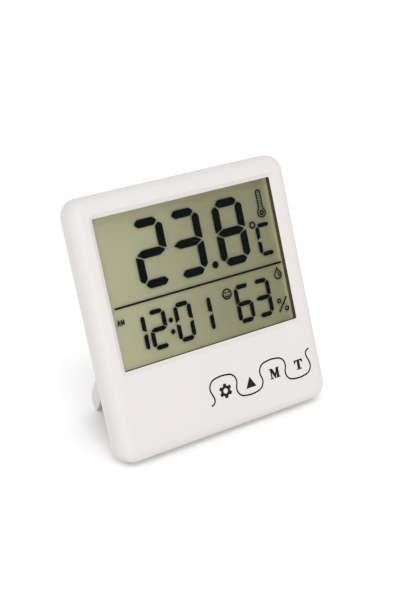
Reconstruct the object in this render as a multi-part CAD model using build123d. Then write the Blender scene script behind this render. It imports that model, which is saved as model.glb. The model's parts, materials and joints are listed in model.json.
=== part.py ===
from build123d import *
import math
import os

os.makedirs("parts", exist_ok=True)

# Case, measured upright: x to the right, y from the front face to the back, z up from the lower edge
case_width = 98.0
case_height = 102.0
case_depth = 21.0
case_corner = 7.0
front_round = 5.0
wall = 1.8
front_depth = 9.3
# degrees that the front leans back when the stand is open
lean_angle = 21.3
# depth of the flat that the lower rear edge and the foot stand on
land_cut = 0.3
# how far each cut runs past the face that it opens
overrun = 1.0

# Window in the front wall; its lip is the wall left under the bevel
window_side = 8.5
window_top = 8.6
window_sill = 35.0
window_corner = 0.6
bevel_width = 1.75
lip = 1.05

# Display stack from front to back, behind the lip
gasket_thick = 2.6
gasket_setback = 0.3
film_thick = 0.2
film_margin = 1.6
glass_thick = 0.7
glass_border = 3.5
glass_ledge = 3.2
reflector_thick = 0.25
glass_clear = 0.2
holder_thick = 1.5
holder_rail = 5.0
holder_skirt = 1.3
zebra_width = 2.0
zebra_inset = 5.5

# Keys: tongues in the front wall, parted by one wavy slit
key_names = ("set", "up", "mode", "unit")
last_key_inset = 13.0
key_drop = 1.3
slit_width = 0.66
slit_shift = -0.43
wave_rise = 5.45
lobe_overhang = 1.65
lobe_drop = 1.0
crown_lift = 0.17
lobe_round_share = 0.379
hook_round_share = 0.167
hook_share = 0.36
root_gap = 0.12
post_radius = 1.1

# Board and what stands on it
board_face = 7.4
board_thick = 1.6
board_side = 9.5
board_drop = 3.85
board_lap = 5.0
switch_side = 6.0
switch_height = 3.5
plunger_radius = 1.75
plunger_fit = 0.3
plunger_reach = 0.8
plunger_seat = 1.0
plunger_room = 0.5
chip_radius = 5.0
chip_height = 1.1
chip_x = -6.0
chip_rise = 14.0
crystal_radius = 1.0
crystal_length = 6.0
crystal_x = 9.0
crystal_rise = 8.0
capacitor_size = (2.0, 1.0, 1.25)
resistor_size = (1.6, 0.5, 0.8)
small_x = 14.0
small_inset = 6.0
capacitor_count = 4
capacitor_rise = 18.0
resistor_count = 5
resistor_rise = 14.5
sensor_size = (10.0, 2.8, 7.0)
sensor_inset = 8.1
sensor_rise = 7.0
sensor_gap = 0.6
sensor_slot = 1.0
sensor_slots = 4
thermistor_radius = 1.1
thermistor_wire = 0.3
thermistor_shift = 9.0
thermistor_rise = 4.0
boss_radius = 2.3
pilot_radius = 1.0
screw_fit = 0.05
board_screw_head = 1.9
board_screw_head_height = 1.1
board_screw_bite = 4.0
board_screw_left = 3.5
board_screw_right = 2.5
board_screw_x = 6.0
board_screw_rise = 3.0

# Rear shell: a flange inside the front shell's rim and a raised tray
tray_side_inset = 4.0
tray_low_inset = 3.0
tray_top_inset = 4.0
tray_corner = 8.0
tray_round = 6.4
flange_thick = 1.8
flange_clear = 0.1
hook_width = 8.0
hook_reach = 0.8
hook_thick = 1.3
hook_clear = 0.2
hook_x = 20.0
holder_post_radius = 1.5
holder_post_inset = 4.0
holder_post_rise = 17.0
holder_post_drop = 14.0
case_screw_inset = 7.1
case_screw_drop = 7.85
case_boss_radius = 2.75
case_boss_end = 11.0
case_screw_radius = 1.25
case_screw_head = 2.4
case_screw_head_height = 1.4
case_screw_bite = 6.0
vent_width = 1.6
vent_length = 12.0
vent_pitch = 3.4
vent_count = 5
hook_hole_radius = 4.25
hook_slot_width = 4.2
hook_hole_drop = 18.0
hook_slot_rise = 5.0

# Stand: a hollow leg with a rounded tip, folded flush into the back
leg_side_inset = 13.9
leg_wall = 1.6
leg_cell_drop = 18.0
leg_tip_clear = 0.2
leg_side_clear = 0.3
leg_floor_clear = 0.35
leg_seat_clear = 0.375
leg_rib = 1.4
leg_bays = 4
pin_radius = 1.5
pin_length = 1.9
pin_fit = 0.05
recess_wall = 2.2

# Battery compartment
contact_room = 5.9
cap_radius = 1.9
cap_length = 1.0
cell_clear = 0.25
cell_headroom = 20.0
well_half = 25.2
well_gap = 0.55
well_floor = 1.0
well_wall = 1.2
door_thick = 1.7
door_side_lap = 1.8
door_lap = 2.35
door_clear = 0.2
door_corner = 1.0
tab_width = 5.0
tab_reach = 1.8
tab_thick = 1.1
tab_gap = 0.3
tab_x = 14.0
grip_count = 4
grip_width = 0.7
grip_depth = 0.4
grip_length = 14.0
grip_pitch = 1.6
finger_radius = 5.0
finger_depth = 1.2
contact_thick = 0.4
contact_half = 3.4
contact_seat = 0.1
leaf_width = 5.0
leaf_round = 0.8
lead_radius = 0.5
lead_side = 4.4
lead_depth = 10.8
lead_start_drop = 4.0
lead_bend_drop = 11.0
lead_end_inset = 3.5
lead_bend = 1.05
lead_turn = 6.0

# Buzzer on the inside of the back
buzzer_radius = 6.0
buzzer_inset = 7.6
buzzer_thick = 0.25
ceramic_rim = 1.5
ceramic_thick = 0.2
sound_hole_radius = 0.7
sound_hole_circle = 2.6
sound_hole_count = 6

# Depths that follow from the stack
display_face = lip + gasket_thick
glass_face = display_face + film_thick
rear_glass_face = glass_face + glass_thick
reflector_face = rear_glass_face + glass_thick
holder_back = reflector_face + holder_thick
board_back = board_face + board_thick
back_inside = case_depth - wall
post_end = board_face - switch_height - plunger_reach

# Display outline
window_width = case_width - 2 * window_side
window_height = case_height - window_sill - window_top
glass_width = window_width + 2 * glass_border
glass_height = window_height + 2 * glass_border
glass_top = window_sill + window_height + glass_border
glass_low = window_sill - glass_border

# Key row and board, below the display
key_pitch = (case_width / 2 - last_key_inset) / (len(key_names) - 1)
key_level = (window_sill - key_drop) / 2
lobe_half = key_pitch / 2 + lobe_overhang
lobe_run_length = 2 * math.hypot(lobe_overhang, wave_rise - lobe_drop)
lobe_round = lobe_round_share * lobe_run_length
hook_round = hook_round_share * key_pitch
crown_round = key_pitch
board_half = case_width / 2 - board_side
board_low = key_level - board_drop
board_high = window_sill + board_lap
small_pitch = (board_half - small_inset - small_x) / (resistor_count - 1)
screw_low = board_low + board_screw_rise
screw_high = (key_level + wave_rise + glass_low) / 2
screw_left = -board_half + board_screw_left
screw_right = board_half - board_screw_right
board_screw_places = [(screw_left, screw_low), (screw_left, screw_high)]
board_screw_places += [(board_screw_x, screw_high), (screw_right, screw_high)]

# Back: the cell lies midway between the board and the room for the wall hook, the stand below it
cell_z = (board_high + case_height - cell_headroom) / 2
hook_hole_z = case_height - hook_hole_drop
leg_half = case_width / 2 - leg_side_inset
leg_axis_z = cell_z - leg_cell_drop
case_screw_x = leg_half - case_screw_inset
case_screw_z = key_level - case_screw_drop
sensor_x = -leg_half + sensor_inset
sensor_z = board_low + sensor_rise

# Stand, as thick as the room behind the sensor allows, and worked out from its hinge axis
sensor_width, sensor_depth, sensor_height = sensor_size
leg_room_face = board_back + sensor_depth + sensor_gap + wall
leg_thick = case_depth - leg_floor_clear - leg_room_face
leg_axis_y = case_depth - leg_thick / 2
leg_tip_z = tray_low_inset + leg_tip_clear
leg_inner_y = case_depth - leg_thick
recess_floor = leg_inner_y - leg_floor_clear
lean = math.radians(lean_angle)
axis_up = leg_axis_z * math.cos(lean) - (leg_axis_y - front_depth) * math.sin(lean)
leg_length = leg_axis_z - leg_tip_z
tip_radius = math.hypot(leg_length, leg_thick / 2)
tip_swing = math.degrees(math.acos(axis_up / tip_radius))
leg_open = tip_swing + lean_angle + math.degrees(math.atan2(leg_thick / 2, leg_length))

# Battery places: the cell fills the depth between the display's holder and the door
cell_room = case_depth - door_thick - holder_back - well_gap - well_floor
cell_radius = cell_room / 2 - cell_clear
door_half_height = cell_radius + door_lap
door_half_width = well_half + door_side_lap
door_face = case_depth - door_thick
cell_y = door_face - cell_clear - cell_radius
well_face = cell_y - cell_radius - cell_clear
cell_length = 2 * well_half - contact_room
cap_tip = well_half - contact_thick - 2 * contact_seat
can_end = cap_tip - cell_length
door_low = cell_z - door_half_height
tab_y = door_face - tab_gap - tab_thick
tab_sweep = math.hypot(case_depth - tab_y, tab_reach + door_clear)
tab_room_y = case_depth - tab_sweep - tab_gap


def deep(profile, start, end):
    """The flat profile, drawn as seen from the front, from one depth to another."""
    return extrude(Plane.XZ.offset(-start) * profile, amount=start - end)


def slab(x_low, x_high, y_low, y_high, z_low, z_high):
    """A block between two corners."""
    middle = Pos((x_low + x_high) / 2, (y_low + y_high) / 2, (z_low + z_high) / 2)
    return middle * Box(x_high - x_low, y_high - y_low, z_high - z_low)


def stud(x, z, start, end, radius):
    """A round pillar along the depth."""
    return deep(Pos(x, z) * Circle(radius), start, end)


def bar(x_low, x_high, y, z, radius):
    """A round bar along the width."""
    middle = Pos((x_low + x_high) / 2, y, z)
    return middle * Rot(Y=90) * Cylinder(radius, x_high - x_low)


def sheet(width, height, corner, low):
    """A rounded rectangle centred across the case, standing on a level."""
    return Pos(0, low + height / 2) * RectangleRounded(width, height, corner)


def front_edges(shape):
    """The edges of the foremost face."""
    return shape.faces().sort_by(Axis.Y)[0].edges()


def rear_edges(shape):
    """The edges of the rearmost face."""
    return shape.faces().sort_by(Axis.Y)[-1].edges()


# Key slit: the corners of a wave whose lobes overhang, then its hooks at both ends
def lobe_middle(index):
    return index * key_pitch + slit_shift


def lobe_side(index):
    return 1 if index % 2 == 0 else -1


def lobe_corner(index, hand):
    reach = lobe_side(index) * (wave_rise - lobe_drop)
    return (lobe_middle(index) + hand * lobe_half, key_level + reach)


def lobe_crown(index):
    return (lobe_middle(index), key_level + lobe_side(index) * (wave_rise + crown_lift))


def hook_end(index, hand):
    corner = lobe_corner(index, hand)
    crown = lobe_crown(index)
    return tuple(c + hook_share * (k - c) for c, k in zip(corner, crown))


def lobe_run(index):
    """Corners and fillets of the slit round one lobe, from crown to crown of its neighbours."""
    last = len(key_names) - 1
    first_lobe = index == 0
    last_lobe = index == last
    start = hook_end(index - 1, 1) if first_lobe else lobe_crown(index - 1)
    end = hook_end(index + 1, -1) if last_lobe else lobe_crown(index + 1)
    points = [start, lobe_corner(index - 1, 1), lobe_corner(index, -1), lobe_crown(index)]
    points += [lobe_corner(index, 1), lobe_corner(index + 1, -1), end]
    radii = [hook_round if first_lobe else lobe_round, lobe_round, crown_round]
    radii += [lobe_round, hook_round if last_lobe else lobe_round]
    return points, radii


def slit_path():
    """The whole slit's middle line."""
    last = len(key_names) - 1
    points = [hook_end(-1, 1), lobe_corner(-1, 1)]
    radii = [hook_round]
    for index in range(len(key_names)):
        points += [lobe_corner(index, -1), lobe_crown(index), lobe_corner(index, 1)]
        radii += [lobe_round, crown_round, lobe_round]
    points += [lobe_corner(last + 1, -1), hook_end(last + 1, -1)]
    radii += [hook_round]
    return FilletPolyline(*points, radius=radii)


slit = trace(slit_path(), line_width=slit_width)
tongue_length = 2 * wave_rise
root_reach = wave_rise - lobe_drop


def tongue(index, gap):
    """One lobe's outline from its root line, left open by a gap, to its tip."""
    points, radii = lobe_run(index)
    outline = make_face(FilletPolyline(*points, radius=radii) + Line(points[-1], points[0]))
    side = lobe_side(index)
    root = key_level - side * (root_reach - gap)
    keep = Rectangle(4 * lobe_half, 2 * tongue_length)
    return outline & Pos(lobe_middle(index), root + side * tongue_length) * keep


# Front shell
outline = sheet(case_width, case_height, case_corner, 0)
front_form = deep(outline, 0, front_depth)
front_form = fillet(front_edges(front_form), front_round)
cavity_outline = sheet(case_width - 2 * wall, case_height - 2 * wall, case_corner - wall, wall)
cavity = deep(cavity_outline, wall, front_depth + overrun)
cavity = fillet(front_edges(cavity), front_round - wall)
front_shell = front_form - cavity
window = sheet(window_width, window_height, window_corner, window_sill)
front_shell -= deep(window, -overrun, wall + overrun)
bevel_corner = window_corner + bevel_width
bevel_outer = Plane.XZ * sheet(
    window_width + 2 * bevel_width, window_height + 2 * bevel_width, bevel_corner,
    window_sill - bevel_width
)
bevel_inner = Plane.XZ.offset(-lip) * window
front_shell -= loft([bevel_outer.face(), bevel_inner.face()])
rebate = sheet(
    glass_width + 2 * glass_clear, glass_height + 2 * glass_clear, window_corner, glass_low - glass_clear
)
front_shell -= deep(rebate, lip, wall + overrun)
for x, z in board_screw_places:
    front_shell += stud(x, z, wall / 2, board_face, boss_radius)
    front_shell -= stud(x, z, board_face - board_screw_bite - overrun, board_face + overrun, pilot_radius)
for side in (-1, 1):
    front_shell += stud(side * case_screw_x, case_screw_z, wall / 2, case_boss_end, case_boss_radius)
    pilot_start = case_boss_end - case_screw_bite - overrun
    front_shell -= stud(side * case_screw_x, case_screw_z, pilot_start, case_boss_end + overrun,
                        case_screw_radius + screw_fit)
    pocket_half = hook_width / 2 + hook_clear
    pocket_top = case_height - wall - flange_clear + hook_reach + hook_clear
    pocket_face = front_depth - flange_thick - hook_clear
    front_shell -= slab(side * hook_x - pocket_half, side * hook_x + pocket_half,
                        pocket_face, front_depth + overrun, case_height - 2 * wall, pocket_top)
for index in range(len(key_names)):
    front_shell -= deep(tongue(index, 0), -overrun, wall + overrun)
front_shell -= deep(slit, -overrun, wall + overrun)

# Keys: each tongue carries a post over its switch
keys = {}
for index, name in enumerate(key_names):
    leaf = deep(tongue(index, root_gap) - slit, 0, wall)
    keys["key_" + name] = leaf + stud(index * key_pitch, key_level, wall / 2, post_end, post_radius)

# Display stack
glass_outline = sheet(glass_width, glass_height, window_corner, glass_low)
gasket_hole = sheet(
    window_width + 2 * gasket_setback, window_height + 2 * gasket_setback, window_corner,
    window_sill - gasket_setback
)
lcd_gasket = deep(glass_outline - gasket_hole, lip, display_face)
film_outline = sheet(
    glass_width - 2 * film_margin, glass_height - 2 * film_margin, window_corner, glass_low + film_margin
)
lcd_polarizer = deep(film_outline, display_face, glass_face)
lcd_front_glass = deep(glass_outline, glass_face, rear_glass_face)
rear_glass_low = glass_low + glass_ledge
rear_glass_outline = sheet(glass_width, glass_top - rear_glass_low, window_corner, rear_glass_low)
lcd_rear_glass = deep(rear_glass_outline, rear_glass_face, reflector_face)
rail_inside = glass_width / 2 + glass_clear + holder_skirt - holder_rail
reflector_low = rear_glass_low + holder_rail
reflector_high = glass_top + glass_clear + holder_skirt - holder_rail - glass_clear
reflector_outline = sheet(
    2 * (rail_inside - glass_clear), reflector_high - reflector_low, window_corner, reflector_low
)
lcd_reflector = deep(reflector_outline, reflector_face, reflector_face + reflector_thick)
holder_low = rear_glass_low
holder_high = glass_top + glass_clear + holder_skirt
holder_half = glass_width / 2 + glass_clear + holder_skirt
holder_outline = sheet(2 * holder_half, holder_high - holder_low, bevel_corner, holder_low)
holder_hole = sheet(
    2 * rail_inside, reflector_high + glass_clear - reflector_low + glass_clear, window_corner,
    reflector_low - glass_clear
)
lcd_holder = deep(holder_outline - holder_hole, glass_face, holder_back)
glass_room = sheet(
    glass_width + 2 * glass_clear, glass_top + glass_clear - holder_low + overrun, window_corner,
    holder_low - overrun
)
lcd_holder -= deep(glass_room, glass_face - overrun, reflector_face)
zebra_high = glass_low + glass_ledge - (glass_ledge - zebra_width) / 2
zebra_half = window_width / 2 - zebra_inset
zebra_strip = slab(-zebra_half, zebra_half, rear_glass_face, board_face,
                   zebra_high - zebra_width, zebra_high)

# Board and its parts
main_board = slab(-board_half, board_half, board_face, board_back, board_low, board_high)
for x, z in board_screw_places:
    main_board -= stud(x, z, board_face - overrun, board_back + overrun, pilot_radius + screw_fit)
switch_face = board_face - switch_height
tact_switches = []
plungers = {}
for index, name in enumerate(key_names):
    x = index * key_pitch
    half = switch_side / 2
    body = slab(x - half, x + half, switch_face, board_face, key_level - half, key_level + half)
    seat_end = switch_face + plunger_seat
    body -= stud(x, key_level, switch_face - overrun, seat_end + plunger_room,
                 plunger_radius + plunger_fit)
    tact_switches.append(body)
    plungers["plunger_" + name] = stud(x, key_level, post_end, seat_end, plunger_radius)
chip_cover = stud(chip_x, board_low + chip_rise, board_back, board_back + chip_height, chip_radius)
chip_cover = fillet(rear_edges(chip_cover), chip_height / 2)
crystal = bar(crystal_x - crystal_length / 2, crystal_x + crystal_length / 2, board_back + crystal_radius,
              board_low + crystal_rise, crystal_radius)


def chip_row(size, z, count):
    """A row of like chip parts on the back of the board."""
    width, height, tall = size
    row = []
    for index in range(count):
        x = small_x + index * small_pitch
        row.append(slab(x - width / 2, x + width / 2, board_back, board_back + height,
                        z - tall / 2, z + tall / 2))
    return row


capacitors = chip_row(capacitor_size, board_low + capacitor_rise, capacitor_count)
resistors = chip_row(resistor_size, board_low + resistor_rise, resistor_count)
humidity_sensor = slab(sensor_x - sensor_width / 2, sensor_x + sensor_width / 2, board_back,
                       board_back + sensor_depth, sensor_z - sensor_height / 2, sensor_z + sensor_height / 2)
for index in range(sensor_slots):
    x = sensor_x + (index - (sensor_slots - 1) / 2) * sensor_width / sensor_slots
    humidity_sensor -= slab(x - sensor_slot / 2, x + sensor_slot / 2, board_back + sensor_depth / 2,
                            board_back + sensor_depth + overrun, sensor_z - sensor_height / 3,
                            sensor_z + sensor_height / 3)
thermistor_x = sensor_x + thermistor_shift
thermistor_z = board_low + thermistor_rise
bead_y = board_back + 2 * thermistor_radius
thermistor = Pos(thermistor_x, bead_y, thermistor_z) * Sphere(thermistor_radius)
for side in (-1, 1):
    thermistor += stud(thermistor_x + side * thermistor_radius / 2, thermistor_z, board_back, bead_y,
                       thermistor_wire)
board_screws = []
for x, z in board_screw_places:
    shank = stud(x, z, board_face - board_screw_bite, board_back, pilot_radius - screw_fit)
    head = stud(x, z, board_back, board_back + board_screw_head_height, board_screw_head)
    board_screws.append(shank + fillet(rear_edges(head), board_screw_head_height / 3))

# Rear shell
tray_width = case_width - 2 * tray_side_inset
tray_height = case_height - tray_low_inset - tray_top_inset
tray_outline = sheet(tray_width, tray_height, tray_corner, tray_low_inset)
flange_face = front_depth - flange_thick
tray_form = deep(tray_outline, flange_face, case_depth)
tray_form = fillet(rear_edges(tray_form), tray_round)
tray_room_outline = sheet(
    tray_width - 2 * wall, tray_height - 2 * wall, tray_corner - wall, tray_low_inset + wall
)
tray_room = deep(tray_room_outline, flange_face - overrun, back_inside)
tray_room = fillet(rear_edges(tray_room), tray_round - wall)
flange_outline = sheet(
    case_width - 2 * (wall + flange_clear), case_height - 2 * (wall + flange_clear),
    case_corner - wall - flange_clear, wall + flange_clear
)
flange = deep(flange_outline, flange_face, front_depth)
rear_shell = tray_form + flange - tray_room
recess_half = leg_half + leg_side_clear
seat_radius = leg_thick / 2 + leg_seat_clear
recess_block = slab(-recess_half - recess_wall, recess_half + recess_wall, recess_floor - wall, case_depth,
                    0, leg_axis_z + seat_radius + wall)
rear_shell += recess_block & tray_form
recess = slab(-recess_half, recess_half, recess_floor, case_depth + overrun, 0, leg_axis_z)
recess += bar(-recess_half, recess_half, leg_axis_y, leg_axis_z, seat_radius)
rear_shell -= recess
pin_bore_half = recess_half + recess_wall
rear_shell -= bar(-pin_bore_half, pin_bore_half, leg_axis_y, leg_axis_z, pin_radius + pin_fit)
well_low = cell_z - cell_radius - cell_clear
well_high = cell_z + cell_radius + cell_clear
rear_shell += slab(-well_half - well_wall, well_half + well_wall, well_face - well_floor, back_inside,
                   well_low - well_wall, well_high + well_wall)
frame_half = door_half_width + well_wall
frame_top = cell_z + door_half_height + well_wall
rear_shell += slab(-frame_half, frame_half, tab_room_y - well_wall, back_inside,
                   door_low - tab_reach - tab_gap - well_wall, frame_top)
door_hole = Pos(0, cell_z) * RectangleRounded(2 * door_half_width, 2 * door_half_height, door_corner)
rear_shell -= deep(door_hole, door_face, case_depth + overrun)
rear_shell -= slab(-well_half, well_half, well_face, case_depth + overrun, well_low, well_high)
for side in (-1, 1):
    room_half = tab_width / 2 + tab_gap
    rear_shell -= slab(side * tab_x - room_half, side * tab_x + room_half, tab_room_y, door_face,
                       door_low - tab_reach - tab_gap, cell_z)
    rear_shell += stud(side * case_screw_x, case_screw_z, case_boss_end, recess_floor, case_boss_radius)
    rear_shell -= stud(side * case_screw_x, case_screw_z, case_boss_end - overrun, case_depth,
                       case_screw_radius + screw_fit)
    hook_top = case_height - wall - flange_clear + hook_reach
    rear_shell += slab(side * hook_x - hook_width / 2, side * hook_x + hook_width / 2,
                       flange_face, flange_face + hook_thick, hook_top - hook_reach - wall, hook_top)
    for z in (window_sill + holder_post_rise, case_height - holder_post_drop):
        post_x = side * (holder_half - holder_post_inset)
        post = stud(post_x, z, holder_back, case_depth, holder_post_radius)
        rear_shell += post & deep(tray_outline, 0, back_inside - wall)
finger = Pos(0, case_depth, cell_z + door_half_height) * Sphere(finger_radius)
finger_seat = Pos(0, finger_radius - finger_depth, 0) * finger
rear_shell -= finger_seat
for index in range(vent_count):
    x = sensor_x + (index - (vent_count - 1) / 2) * vent_pitch
    slot = Pos(x, sensor_z) * SlotOverall(vent_length, vent_width, 90)
    rear_shell -= deep(slot, recess_floor - wall - overrun, recess_floor + overrun)
hook_hole = Pos(0, hook_hole_z) * Circle(hook_hole_radius)
slot_height = hook_hole_radius + hook_slot_rise
hook_hole += Pos(0, hook_hole_z + slot_height / 2) * Rectangle(hook_slot_width, slot_height)
hook_hole += Pos(0, hook_hole_z + slot_height) * Circle(hook_slot_width / 2)
rear_shell -= deep(hook_hole, back_inside - tray_round, case_depth + overrun)
buzzer_room = case_height - tray_top_inset - tray_round - frame_top
buzzer_x = -tray_width / 2 + tray_round + buzzer_inset + buzzer_radius
buzzer_z = frame_top + buzzer_room / 2
for index in range(sound_hole_count):
    turn = 2 * math.pi * index / sound_hole_count
    x = buzzer_x + sound_hole_circle * math.cos(turn)
    z = buzzer_z + sound_hole_circle * math.sin(turn)
    rear_shell -= stud(x, z, back_inside - overrun, case_depth + overrun, sound_hole_radius)

# Screws that hold the two shells, under the folded stand
case_screws = []
for side in (-1, 1):
    x = side * case_screw_x
    shank = stud(x, case_screw_z, case_boss_end - case_screw_bite, recess_floor, case_screw_radius)
    head = stud(x, case_screw_z, recess_floor, recess_floor + case_screw_head_height, case_screw_head)
    case_screws.append(shank + fillet(rear_edges(head), case_screw_head_height / 3))

# Battery door with two tabs at its lower edge
door_outline = Pos(0, cell_z) * RectangleRounded(
    2 * (door_half_width - door_clear), 2 * (door_half_height - door_clear), door_corner
)
battery_door = deep(door_outline, door_face, case_depth)
for side in (-1, 1):
    x = side * tab_x
    tab_low = door_low - tab_reach
    tab_top = door_low + door_clear + tab_thick
    battery_door += slab(x - tab_width / 2, x + tab_width / 2, tab_y, door_face + door_thick / 2,
                         door_low + door_clear, tab_top)
    battery_door += slab(x - tab_width / 2, x + tab_width / 2, tab_y, tab_y + tab_thick, tab_low, tab_top)
battery_door -= finger_seat
for index in range(grip_count):
    z = cell_z - index * grip_pitch
    battery_door -= slab(-grip_length / 2, grip_length / 2, case_depth - grip_depth, case_depth + overrun,
                         z - grip_width / 2, z + grip_width / 2)

# Cell and its contacts
can_length = cell_length - cap_length
battery_can = bar(can_end, can_end + can_length, cell_y, cell_z, cell_radius)
battery_cap = bar(can_end + can_length, cap_tip, cell_y, cell_z, cap_radius)
plate_contact = slab(cap_tip + contact_seat, cap_tip + contact_seat + contact_thick, cell_y - contact_half,
                     cell_y + contact_half, cell_z - contact_half, cell_z + contact_half)
plate_x = -well_half + contact_seat
spring_plate = slab(plate_x, plate_x + contact_thick, cell_y - contact_half, cell_y + contact_half,
                    cell_z - contact_half, cell_z + contact_half)
leaf_start = (plate_x + contact_thick / 2, cell_y + contact_half - contact_thick / 2)
leaf_tip = (can_end - contact_seat - contact_thick / 2, cell_y)
leaf_end = (plate_x + 2 * contact_thick, cell_y - contact_half)
leaf_path = FilletPolyline(leaf_start, leaf_tip, leaf_end, radius=leaf_round)
leaf = extrude(trace(leaf_path, line_width=contact_thick), amount=leaf_width / 2, both=True)
spring_contact = spring_plate + Pos(0, 0, cell_z) * leaf


def battery_lead(side):
    """A lead from beside the battery well, past the recess, to the back of the board."""
    x = side * (well_half + lead_side)
    end_z = board_high - lead_end_inset
    points = [(x, cell_y, cell_z - lead_start_drop), (x, lead_depth, cell_z - lead_bend_drop)]
    points += [(x, lead_depth, end_z), (x, board_back, end_z)]
    path = FilletPolyline(*points, radius=[lead_turn, lead_bend])
    start = Plane(origin=path @ 0, z_dir=path % 0)
    return sweep(start * Circle(lead_radius), path=path)


# Buzzer
buzzer_face = back_inside - buzzer_thick
buzzer_disc = stud(buzzer_x, buzzer_z, buzzer_face, back_inside, buzzer_radius)
ceramic_radius = buzzer_radius - ceramic_rim
buzzer_ceramic = stud(buzzer_x, buzzer_z, buzzer_face - ceramic_thick, buzzer_face, ceramic_radius)


# Stand, drawn folded
def leg_form(x_low, x_high, inset, top):
    """A run of the leg with its rounded tip, set in from its outer face and tip."""
    turn = leg_tip_z + leg_thick
    outer = case_depth - inset
    straight = slab(x_low, x_high, leg_inner_y, outer, turn, top)
    round_tip = bar(x_low, x_high, leg_inner_y, turn, leg_thick - inset)
    return straight + (round_tip & slab(x_low, x_high, leg_inner_y, outer, leg_tip_z, turn))


stand = leg_form(-leg_half, leg_half, 0, leg_axis_z)
stand += bar(-leg_half, leg_half, leg_axis_y, leg_axis_z, leg_thick / 2)
bay_width = (2 * leg_half - 2 * leg_wall - (leg_bays - 1) * leg_rib) / leg_bays
for index in range(leg_bays):
    bay_low = -leg_half + leg_wall + index * (bay_width + leg_rib)
    stand -= leg_form(bay_low, bay_low + bay_width, leg_wall, leg_axis_z - leg_thick / 2)
stand += bar(-leg_half - pin_length, -leg_half, leg_axis_y, leg_axis_z, pin_radius)
stand += bar(leg_half, leg_half + pin_length, leg_axis_y, leg_axis_z, pin_radius)
leg_axis = Pos(0, leg_axis_y, leg_axis_z)
stand = leg_axis * Rot(X=leg_open) * leg_axis.inverse() * stand

# The leaning case: its lower rear edge and the foot stand on the ground, and the origin is below its middle
lift = front_depth * math.sin(lean) - land_cut
lean_turn = Rot(X=-lean_angle)


def leaned(shape):
    return Pos(0, 0, lift) * lean_turn * shape


ground_reach = 2 * case_height
ground = slab(-ground_reach, ground_reach, -ground_reach, ground_reach, -ground_reach, 0)
nodes = {"front_shell": [leaned(front_shell) - ground], "stand": [leaned(stand) - ground]}
loose = {
    "lcd_gasket": lcd_gasket, "lcd_polarizer": lcd_polarizer, "lcd_front_glass": lcd_front_glass,
    "lcd_rear_glass": lcd_rear_glass, "lcd_reflector": lcd_reflector, "lcd_holder": lcd_holder,
    "zebra_strip": zebra_strip, "main_board": main_board, "tact_switches": tact_switches,
    "chip_cover": chip_cover, "crystal": crystal, "capacitors": capacitors, "resistors": resistors,
    "humidity_sensor": humidity_sensor, "thermistor": thermistor, "board_screws": board_screws,
    "rear_shell": rear_shell, "case_screws": case_screws, "battery_door": battery_door,
    "battery_can": battery_can, "battery_cap": battery_cap, "plate_contact": plate_contact,
    "spring_contact": spring_contact, "red_lead": battery_lead(1), "black_lead": battery_lead(-1),
    "buzzer_disc": buzzer_disc, "buzzer_ceramic": buzzer_ceramic,
}
for name, shape in (loose | keys | plungers).items():
    nodes[name] = [leaned(piece) for piece in (shape if isinstance(shape, list) else [shape])]
boxes = [piece.bounding_box() for pieces in nodes.values() for piece in pieces]
middle_y = (min(box.min.Y for box in boxes) + max(box.max.Y for box in boxes)) / 2
for name, pieces in nodes.items():
    placed = [Pos(0, -middle_y, 0) * piece for piece in pieces]
    export_step(placed[0] if len(placed) == 1 else Compound(children=placed), "parts/" + name + ".step")
print("stand opens", round(leg_open, 3), "middle", round(middle_y, 4), "lift", round(lift, 4))
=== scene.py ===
import json
import math
import bmesh
import bpy
from mathutils import Matrix, Vector
from mathutils.geometry import tessellate_polygon


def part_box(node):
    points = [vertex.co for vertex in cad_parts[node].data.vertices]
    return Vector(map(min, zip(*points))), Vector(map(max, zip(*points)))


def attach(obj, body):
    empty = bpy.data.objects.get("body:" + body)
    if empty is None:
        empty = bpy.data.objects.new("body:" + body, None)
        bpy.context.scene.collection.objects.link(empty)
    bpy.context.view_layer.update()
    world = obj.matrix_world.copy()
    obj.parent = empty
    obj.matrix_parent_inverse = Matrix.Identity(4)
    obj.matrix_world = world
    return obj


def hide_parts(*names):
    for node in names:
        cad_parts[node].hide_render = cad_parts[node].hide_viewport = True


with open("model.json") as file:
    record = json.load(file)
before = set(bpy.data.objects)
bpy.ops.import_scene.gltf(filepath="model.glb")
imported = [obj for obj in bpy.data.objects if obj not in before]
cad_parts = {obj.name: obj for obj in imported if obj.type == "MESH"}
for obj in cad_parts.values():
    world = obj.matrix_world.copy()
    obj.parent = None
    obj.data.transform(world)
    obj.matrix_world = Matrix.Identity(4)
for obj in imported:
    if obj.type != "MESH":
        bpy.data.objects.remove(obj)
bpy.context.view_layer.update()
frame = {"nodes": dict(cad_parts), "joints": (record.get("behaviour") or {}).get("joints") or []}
mm = 0.001
print("frame loaded:", len(frame["nodes"]), "nodes")

# the case leans back; in its own upright frame, in millimetres, x runs to the right,
# depth from the front face and height from the lower edge
case = {"leanDegrees": 21.3, "depth": 21.0, "legThickness": 6.45, "legAxisHeight": 43.0}
standFold = next(joint for joint in frame["joints"] if joint["name"] == "stand_fold")
legAxis = Vector((0, case["depth"] - case["legThickness"] / 2, case["legAxisHeight"]))
leanBack = Matrix.Rotation(-math.radians(case["leanDegrees"]), 4, "X")
hingePlace = Matrix.Translation(standFold["pos_m"])
caseToFrame = hingePlace @ leanBack @ Matrix.Scale(mm, 4) @ Matrix.Translation(-legAxis)
frameToCase = caseToFrame.inverted()

# noise swings about its middle; soft patches have more detail than a fine grain
noise = {"middle": 0.5, "fineDetail": 2.0, "softDetail": 3.0, "reliefStrength": 0.5}


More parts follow.
